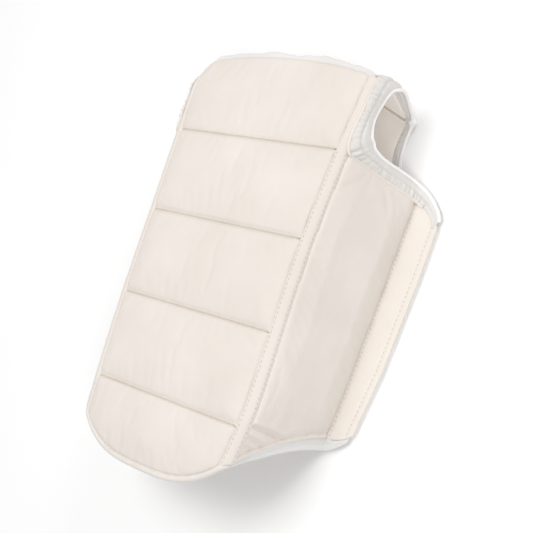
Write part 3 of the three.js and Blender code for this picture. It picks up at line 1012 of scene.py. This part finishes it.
# Armhole trim
def armhole_rows():
    """From the side seam over the shoulder and back: the line that the band laps to, and its rim."""
    def by_tape(y):
        x, z = on_tape(y, 1.1)[:2]
        lap_x, lap_z, out_x, out_z = on_tape(y, 0.62)
        return (lap_x + BAND_LIFT * out_x, y, lap_z + BAND_LIFT * out_z), (x, y, z)

    def by_wing(t):
        y = wing_top(t)
        x, z = on_wing(y, t)[:2]
        lap_x, lap_z, out_x, out_z = on_wing(y - BAND_LAP, t)
        lap = (lap_x + BAND_LIFT * out_x, y - BAND_LAP, lap_z + BAND_LIFT * out_z)
        return lap, (x, y + 1, z)

    def by_back(t, lift=0.0):
        x, y = back_arm(t)
        sewn = (x + 1, y + 1, BACK_THICK / 2 + GAP + lift)
        return sewn, sewn

    def by_flap(t, down=0.0):
        y = flap_top(t) + 1.2 - down
        x = mix(width(STITCH_LINE, y) + PAD_EDGE / 2, width(SIDE_EDGE, y), t)
        return (x - 2.5, y - 4, LANDING + BAND_LIFT / 2), (x, y, LANDING - 0.2)

    def by_strap(row):
        return SHOULDER_LINE[row], SHOULDER_LINE[row]

    # Each row: the seam's point, the cloth's edge there, and the rim's place from that edge
    rows = [
        (*by_flap(0.93, 2), (1, 4, -0.3)),
        (*by_flap(0.8), (3.5, 2.6, 0.3)),
        (*by_flap(0.55), (4, 4, 0.5)),
        (*by_flap(0.2), (2.5, 9, 2)),
        (*by_wing(0.88), (-1, 16, 1)),
        (*by_wing(0.5), (1.5, 15, 1)),
        (*by_wing(0.12), (10.5, 13, -13.5)),
        (*by_tape(14), (10, 10, -12)),
        (*by_tape(42), (4, 1, -11)),
        (*by_tape(70), (6, 0, -14)),
        (*by_strap(0), (14, -6, -20)),
        (*by_strap(1), (13, -1, -6)),
        (*by_strap(2), (10, -1, -2)),
        (*by_back(1, 4), (8, 2, 0.5)),
        (*by_back(0.8, 0.4), (9, 1, 0.4)),
        (*by_back(0.5), (7, 4, 0.4)),
        (*by_back(0.25), (5, 4, 0.4)),
        (*by_back(0.12), (4, 4, 0.4)),
    ]
    lines = [(Vector(lap), Vector(sewn) + Vector(rim)) for lap, sewn, rim in rows]
    x, z, out_x, out_z = on_tape(0, 1)
    corner = Vector((x + BAND_LIFT * out_x, 0, z + BAND_LIFT * out_z))
    lines.insert(CORNER_ROW, (corner, (lines[CORNER_ROW - 1][1] + lines[CORNER_ROW][1]) / 2))
    return lines


def armhole(name, side):
    rows = armhole_rows()
    sewn_line = smooth_line([row[0] for row in rows])
    rim_line = smooth_line([row[1] for row in rows])
    step = 0.5 / len(rows)
    corner = CORNER_ROW / (len(rows) - 1)

    def cloth(u, v):
        """A point on the band, from its seam to its rim, and the way out of the cloth."""
        across = rim_line(v) - sewn_line(v)
        along = rim_line(v + step) - rim_line(v - step)
        out = across.cross(along).normalized()
        wide = across.length
        bow = BAND_BOW * (1 - (2 * u - 1) ** 2) * clamp((wide - BAND_FLAT) / BAND_BOW_GROWTH)
        reach = mix(0, 1 - BAND_INSET / wide, u)
        return sewn_line(v) + across * reach + out * bow, out

    shares = [i / BAND_STEPS for i in range(BAND_STEPS + 1)]
    middle = [(sewn_line(share) + rim_line(share)) / 2 for share in shares]
    runs = [0.0]
    for start, end in zip(middle, middle[1:]):
        runs.append(runs[-1] + (end - start).length)
    mitre = runs[round(corner * BAND_STEPS)]

    def place(u, v):
        point, out = cloth(u, v)
        run = runs[round(v * BAND_STEPS)]
        gather = math.cos(2 * math.pi * (run / PUCKER_PITCH + 0.9 * ripple(run, 0, 14, side)))
        calm = clamp(run / PUCKER_CALM - 1)
        inner = clamp(u / BAND_EDGE) * clamp((BAND_GROOVE - u) / BAND_EDGE)
        outer = clamp((u - BAND_GROOVE) / BAND_EDGE) * clamp((1 - u) / BAND_EDGE)
        high = PUCKER_INNER * inner + PUCKER_OUTER * outer
        move = gather * (0.6 + 0.6 * ripple(run, 3, 18, 4)) * high * calm
        move += wave(run, u * 12, BAND_CRUMPLE, 8) * (inner + 0.4 * outer) * calm
        move += BAND_FULLNESS * (inner + outer)
        move -= BAND_GROOVE_DEPTH * bell(u - BAND_GROOVE, BAND_GROOVE_HALF) * calm
        move -= MITRE_DEPTH * bell(run - mitre, MITRE_HALF) * clamp(1.15 - u / BAND_GROOVE)
        return point + out * move

    band, flat, area = cloth_sheet(
        f"armhole_band_{name}", place, across=12, along=BAND_STEPS, thick=1.5, side=side)
    # The band's greyer white is painted shade of its gathers
    dress(band, PAINTED_SHADE_BAND_WHITE, "white_trim", f"arm_band_{name}")

    knot = KNOT_ROW / (len(rows) - 1)
    places = []
    for i in range(RIM_STEPS + 1):
        v = i / RIM_STEPS
        point = rim_line(v)
        fullness = KNOT_FULLNESS * bell(v - knot, 0.01)
        radius = RIM_RADIUS * (1 + 0.07 * ripple(i, 0, 5, side) + fullness)
        places.append((world(point.x * side, point.y, point.z), radius))
    rim = rolled_edge(f"armhole_rim_{name}", places)
    # The rim's brighter white is a painted highlight
    dress(rim, PAINTED_HIGHLIGHT_RIM_WHITE, "white_trim", f"arm_rim_{name}")

    # A cream piping covers the band's seam along the wing and up beside the front
    places = []
    for i in range(PIPING_STEPS + 1):
        v = mix(*PIPING_ROWS[side], i / PIPING_STEPS) / (len(rows) - 1)
        point, out = cloth(0, v)
        point += out * PIPING_LIFT
        radius = mix(PIPING_LOW, PIPING_HIGH, clamp((v - corner) * 20)) + 0.12 * ripple(i, 0, 4, side)
        radius *= mix(PIPING_END, 1, clamp((PIPING_STEPS - i) / PIPING_THIN))
        places.append((world(point.x * side, point.y, point.z), radius))
    piping = rolled_edge(f"armhole_piping_{name}", places)
    # The piping's lighter cream is painted light
    dress(piping, PAINTED_LIGHT_CREAM, "cream_cotton")
    return band, cloth


sides = {"left": 1, "right": -1}
armhole_cloth = {}
for name, side in sides.items():
    wing = fill_pad(f"wing_{name}", f"side_pad_{name}", Wing(side))
    dress(wing, CREAM, "cream_cotton", f"side_pad_{name}")
    skins[f"wing_{name}"] = wing
    skins[f"tape_{name}"] = corner_tape(name, side)
    skins[f"flap_{name}"] = flap(name, side)
    hem_band(name, side)
    strap(name, side)
    skins[f"band_{name}"], armhole_cloth[name] = armhole(name, side)
back_sheet()
tongue_binding()
neck_trim()


# Stitching: short threads that dip into the cloth at both ends; the darker thread is painted shade of
# the needle holes
bpy.ops.object.select_all(action="DESELECT")
bpy.ops.mesh.primitive_uv_sphere_add(segments=5, ring_count=5, radius=1)
one_stitch = bpy.context.object
for vertex in one_stitch.data.vertices:
    x, y, z = vertex.co
    vertex.co = (z * STITCH_LENGTH / 2, y * THREAD / 2, (x * 0.5 - 0.55 * z * z + 0.25) * THREAD)
stitch_points = [vertex.co.copy() for vertex in one_stitch.data.vertices]
stitch_faces = [list(face.vertices) for face in one_stitch.data.polygons]
bpy.data.objects.remove(one_stitch)

bpy.context.view_layer.update()
graph = bpy.context.evaluated_depsgraph_get()
surfaces = {key: BVHTree.FromObject(piece, graph) for key, piece in skins.items()}


def seat(point, out, keys):
    """Brings a point down onto the cloth along its outward direction, in metres."""
    start = point + out * SEAT_REACH * MM
    hits = [surfaces[key].ray_cast(start, -out, 2 * SEAT_REACH * MM) for key in keys]
    found = [hit for hit in hits if hit[0] is not None]
    if not found:
        return point
    return min(found, key=lambda hit: hit[3])[0]


# The default thread's darker colour is painted shade of the needle holes
def sew(name, line, keys, look=PAINTED_SHADE_THREAD):
    """Threads along a seam; line(s) gives a point and the way out of the cloth at s from 0 to 1."""
    fine = [line(i / SEAM_SAMPLES)[0] for i in range(SEAM_SAMPLES + 1)]
    length = sum((b - a).length for a, b in zip(fine, fine[1:])) / MM
    count = int(length / STITCH_PITCH)
    points, faces = [], []
    for i in range(count):
        s = (i + 0.5) / count
        point, out = line(s)
        ahead = (line(s + 0.3 / count)[0] - line(s - 0.3 / count)[0]).normalized()
        across = out.cross(ahead).normalized()
        up = ahead.cross(across)
        place = seat(point, up, keys)
        turn = Matrix((ahead, across, up)).transposed()
        start = len(points)
        points.extend(place + turn @ (corner * MM) for corner in stitch_points)
        faces.extend([start + corner for corner in face] for face in stitch_faces)
    mesh = bpy.data.meshes.new(name)
    mesh.from_pydata(points, [], faces)
    piece = bpy.data.objects.new(name, mesh)
    bpy.context.collection.objects.link(piece)
    dress(piece, look, "cream_cotton")


UP = Vector((0, 0, 1))
FRONTS = [f"front_{index}" for index in range(1, SEGMENTS + 1)]
for index in range(1, SEGMENTS):
    def cross_seam(s, level=(1 - index) * SEGMENT_PITCH + CROSS_STITCHES):
        reach = width(FRONT, level) - TAPE_WIDTH / 2 - 3
        return world(mix(-reach, reach, s), level, front_height(level)), UP

    sew(f"stitches_cross_{index}", cross_seam, FRONTS, CREAM)
    groove = []
    for i in range(SEAM_STEPS + 1):
        point = cross_seam(i / SEAM_STEPS, (1 - index) * SEGMENT_PITCH)[0]
        groove.append((point + UP * SEAM_LIFT * MM, SEAM_RADIUS))
    line = rolled_edge(f"seam_line_{index}", groove, 2)
    # The seam's rolled line is coloured darker as painted shade of the seam's valley
    dress(line, PAINTED_SHADE_SEAM_LOOK, "cream_cotton")


def tongue_hem(s):
    reach = width(FRONT, LAST_SEAM) - TAPE_WIDTH / 2 - 2
    x = reach * math.sin(mix(-1, 1, s) * math.pi / 2)
    y = tongue(x) + HEM
    return world(x, y, front_height(y)), UP


sew("stitches_tongue", tongue_hem, FRONTS, CREAM)


for name, side in sides.items():
    for row, t in zip(("front", "side"), TAPE_ROWS):
        def tape_row(s, t=t, side=side):
            y = mix(tape_bottom(t) + 2, WING_TOP - 2, s)
            x, z, out_x, out_z = on_tape(y, t)
            return world(x * side, y, z), Vector((out_x * side, 0, out_z))

        look = CREAM if name == "right" and row == "front" else PAINTED_SHADE_THREAD
        sew(f"stitches_tape_{row}_{name}", tape_row, [f"tape_{name}"], look)

    def flap_seam(s, side=side):
        y = mix(flap_bottom(0) + 3, flap_top(0) - 2, s)
        return world((width(STITCH_LINE, y) - FLAP_TUCK + FLAP_SEAM) * side, y, LANDING), UP

    def flap_edge(s, side=side):
        y = mix(flap_bottom(0.8) + 3, flap_top(0.8) - 2, s)
        return world((width(SIDE_EDGE, y) - FLAP_HEM) * side, y, LANDING), UP

    def wing_hem(s, side=side):
        t = mix(0.03, 0.95, s)
        y = wing_bottom(t) + HEM
        x, z, out_x, out_z = on_wing(y, t)
        return world(x * side, y, z), Vector((out_x * side, 0, out_z))

    def armhole_groove(s, side=side, cloth=armhole_cloth[name]):
        point, out = cloth(BAND_GROOVE, mix(0.06, 0.95, s))
        return world(point.x * side, point.y, point.z), Vector((out.x * side, out.y, out.z))

    sew(f"stitches_flap_seam_{name}", flap_seam, [f"flap_{name}"])
    sew(f"stitches_flap_edge_{name}", flap_edge, [f"flap_{name}"])
    sew(f"stitches_wing_hem_{name}", wing_hem, [f"wing_{name}"], CREAM)
    sew(f"stitches_armhole_{name}", armhole_groove, [f"band_{name}"], WHITE)


# Floor, light and camera
def floor_look():
    look = bpy.data.materials.new("white_paper_sweep")
    look.use_nodes = True
    paper = look.node_tree.nodes["Principled BSDF"]
    paper.inputs["Base Color"].default_value = linear("#F5F5F5")
    paper.inputs["Roughness"].default_value = 0.95
    paper.inputs["Specular IOR Level"].default_value = 0.1
    return look


bpy.ops.object.select_all(action="DESELECT")
bpy.ops.mesh.primitive_plane_add(size=8)
floor = bpy.context.object
floor.name = "paper_sweep"
floor.data.materials.append(floor_look())


def soft_box(name, place, size, watts, aim=(0, 0, 0)):
    """A square soft box that faces a point of the object."""
    lamp = bpy.data.lights.new(name, "AREA")
    lamp.size = size
    lamp.energy = watts
    stand = bpy.data.objects.new(name, lamp)
    stand.location = place
    stand.rotation_euler = (Vector(aim) - Vector(place)).to_track_quat("-Z", "Y").to_euler()
    bpy.context.collection.objects.link(stand)


soft_box("overhead_soft_box", (-0.3, 0.4, 2.0), 1.2, 20)
soft_box("camera_side_soft_box", (1.3, -0.6, 1.4), 0.9, 12)
soft_box("head_side_soft_box", (0.9, 1.5, 1.1), 0.6, 6)
soft_box("inside_fill", (0.02, 0.02, 0.06), 0.06, 0.07, aim=(0.1, 0.26, 0.02))
sky = bpy.data.worlds.new("white_studio")
sky.use_nodes = True
sky.node_tree.nodes["Background"].inputs["Color"].default_value = (1, 1, 1, 1)
sky.node_tree.nodes["Background"].inputs["Strength"].default_value = 0.5
bpy.context.scene.world = sky
bpy.context.scene.view_settings.view_transform = "Standard"

# The photograph's camera, fitted to its seams and edges: place, directions and focal length
EYE = (682.7, -203.357, 844.2)
FOCAL_LENGTH = 67.54
SENSOR = 36
RIGHT = Vector((0.7527, 0.296, -0.588))
ABOVE = Vector((-0.1807, 0.9518, 0.2477))
SIGHT = Vector((-0.633, 0.0802, -0.77))
lens = bpy.data.cameras.new("camera")
lens.sensor_width = SENSOR
lens.lens = FOCAL_LENGTH
camera = bpy.data.objects.new("camera", lens)
camera.matrix_world = Matrix.Translation(world(*EYE)) @ Matrix(
    (RIGHT, ABOVE, -SIGHT)).transposed().to_4x4()
bpy.context.collection.objects.link(camera)
bpy.context.scene.camera = camera
